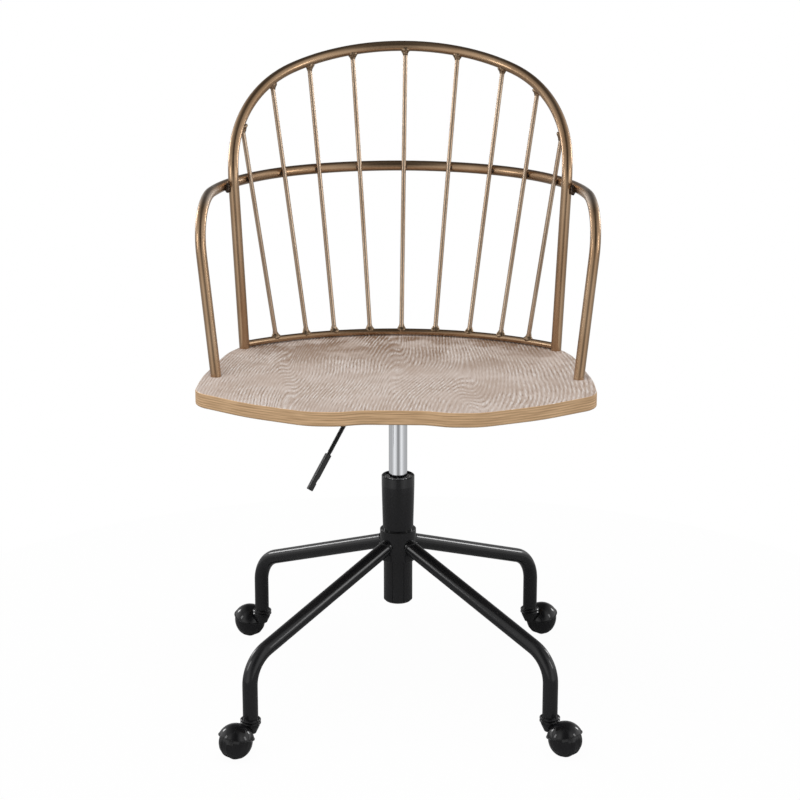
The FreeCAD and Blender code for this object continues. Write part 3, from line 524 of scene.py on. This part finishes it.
zinc_plate = Finish("zinc_plate", metallic=1.0)
zinc = zinc_plate.grain(zinc_plate.place, 180.0, detail=4.0)
zinc_plate.show(
    base_color=zinc_plate.mix(zinc, (0.42, 0.42, 0.43), (0.66, 0.66, 0.68)),
    roughness=0.24 + zinc * 0.2)
zinc_plate.on("thrust_bearing", "bearing_upper_washer", "piston_rod", "rod_clip", "release_button",
              "lever_pin", "pan_screws", "seat_inserts", "frame_inserts", "frame_screws")

bumper = Finish("bumper_rubber", base_color=(0.02, 0.02, 0.02))
pores = bumper.grain(bumper.place, 700.0)
bumper.show(roughness=0.6 + pores * 0.2)
bumper.relief(pores, 0.0001)
bumper.on("stop_bumper")


# The base: a hub tube with four bent leg tubes welded to it, all powder coated gloss black, as are
# the column's outer tube and the pressed pan under the seat. Each leg has a weld bead at the hub.
corner_names = ["front_left", "front_right", "rear_right", "rear_left"]
hub_radius = 0.0275
leg_radius = 0.0113
leg_axis_height = 0.2532
leg_slope = math.radians(20)
hub_bead_radius = 0.0018
hub_bead_unevenness = 0.0006
hub_lumps_per_metre = 260

powder = Finish("black_powder_coat", specular_ior_level=0.45)
peel = powder.grain(powder.place, 260.0, detail=2.0)
dust = powder.spread(powder.grain(powder.place, 900.0, detail=2.0), 0.64, 0.78)
powder.show(
    base_color=powder.mix(dust, (0.0105, 0.0105, 0.0115), (0.034, 0.034, 0.036)),
    roughness=0.10 + peel * 0.07)
powder.relief(peel, 0.00004)
powder.on("column_tube", "hub_tube", "mechanism_pan", "cone_socket", "lever_bracket", "lever_rod",
          *["leg_" + corner for corner in corner_names])


def bead_ring(radius, thickness, steps):
    """A round bead bent to a ring about the Z axis."""
    turns = [step * math.pi / 4 for step in range(9)]
    round_bead = [(radius + thickness * math.cos(turn), thickness * math.sin(turn)) for turn in turns]
    return lathe(round_bead, steps)


def caster_way(corner):
    """The axis that a caster swivels about, and the way out to it from the column."""
    place = Vector(joints["caster_" + corner + "_swivel"]["pos_m"])
    return place, Vector((place.x, place.y, 0)).normalized()


hub_beads = bmesh.new()
for corner in corner_names:
    outward = caster_way(corner)[1]
    sideways = outward.cross(Vector((0, 0, 1)))
    downhill = outward * math.cos(leg_slope) - Vector((0, 0, math.sin(leg_slope)))
    ring = bmesh.new()
    hub_bead = bead_ring(leg_radius, hub_bead_radius, steps=36)
    join(ring, hub_bead, (0, 0, leg_axis_height), downhill, sideways)
    for vertex in ring.verts:
        lateral = min(abs(vertex.co.dot(sideways)), leg_radius)
        reach = math.sqrt(hub_radius ** 2 - lateral ** 2)
        slide = reach + (vertex.co.z - leg_axis_height) * math.tan(leg_slope)
        slide += hub_bead_unevenness * noise.noise(vertex.co * hub_lumps_per_metre)
        vertex.co += downhill * (slide / math.cos(leg_slope))
    join(hub_beads, ring)
piece("hub_welds", hub_beads, "base", powder)


# The lever: a bent steel rod on a pin under the seat. Past its bend it wears a ribbed sleeve, and
# its grip is black plastic with a fine moulded texture.
lever_turn = math.radians(35)
lever_slope = math.radians(55.8)
lever_height = joints["lever_lift"]["pos_m"][2]
elbow_reach = 0.0715
sleeve_start = 0.0105
rib_spacing = 0.0022
rib_count = 36
rib = [(0.0028, -0.0009), (0.0035, -0.0004), (0.0035, 0.0004), (0.0028, 0.0009), (0.0028, -0.0009)]

lever_way = Vector((-math.cos(lever_turn), -math.sin(lever_turn), 0))
lever_down = lever_way * math.cos(lever_slope) - Vector((0, 0, math.sin(lever_slope)))
elbow = lever_way * elbow_reach + Vector((0, 0, lever_height))
ribs = bmesh.new()
for number in range(rib_count):
    rib_place = elbow + lever_down * (sleeve_start + number * rib_spacing)
    join(ribs, lathe(rib, steps=14), rib_place, lever_down, (0, 0, 1))
piece("lever_ribs", ribs, "lever", powder)

grip_plastic = Finish("grip_plastic")
moulded = grip_plastic.grain(grip_plastic.place, 1500.0)
grip_plastic.show(
    base_color=grip_plastic.mix(moulded, (0.014, 0.014, 0.014), (0.03, 0.03, 0.03)),
    roughness=0.36 + moulded * 0.15)
grip_plastic.relief(moulded, 0.00008)
grip_plastic.on("lever_grip")


# The casters: a hood over two domed wheels, all of glossy black nylon, on a zinc plated stem and
# axle. A moulded bead runs along the hood's lip and round the face of each wheel.
hood_radius = 0.0275
hood_tilt = math.radians(13)
lip_height = 0.008
lip_rise = lip_height * math.cos(hood_tilt)
lip_bead_radius = 0.0009
lip_bead_sink = 0.0002
caster_trail = 0.030
wheel_radius = 0.025
wheel_bead_radius = 0.0005
wheel_bead_reach = wheel_radius * 0.875
wheel_bead_aside = wheel_radius * 0.48

nylon = Finish("black_nylon", specular_ior_level=0.45)
flow = nylon.grain(nylon.place, 120.0)
nylon.show(
    base_color=nylon.mix(flow, (0.004, 0.004, 0.0045), (0.010, 0.010, 0.011)),
    roughness=0.06 + flow * 0.07)
nylon.relief(flow, 0.00006)
nylon.on("caster_sockets")

lip_reach = math.sqrt(hood_radius ** 2 - lip_rise ** 2) - lip_bead_sink
for corner in corner_names:
    caster = "caster_" + corner
    nylon.on(caster + "_hood", caster + "_wheel_1", caster + "_wheel_2")
    zinc_plate.on(caster + "_stem", caster + "_axle")
    place, outward = caster_way(corner)
    centre = Vector((place.x, place.y, wheel_radius)) + outward * caster_trail
    lip_axis = Vector((0, 0, math.cos(hood_tilt))) - outward * math.sin(hood_tilt)
    lip = bmesh.new()
    lip_bead = bead_ring(lip_reach, lip_bead_radius, steps=48)
    join(lip, lip_bead, centre + lip_axis * lip_rise, lip_axis, outward)
    piece(caster + "_lip", lip, caster, nylon)
    for number in (1, 2):
        wheel = caster + "_wheel_" + str(number)
        low, high = (Vector(box_corner) for box_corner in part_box(wheel))
        from_centre = (low + high) / 2 - centre
        axle_way = Vector((from_centre.x, from_centre.y, 0)).normalized()
        rim = bmesh.new()
        rim_bead = bead_ring(wheel_bead_reach, wheel_bead_radius, steps=48)
        join(rim, rim_bead, centre + axle_way * wheel_bead_aside, axle_way, (0, 0, 1))
        piece(wheel + "_bead", rim, wheel, nylon)
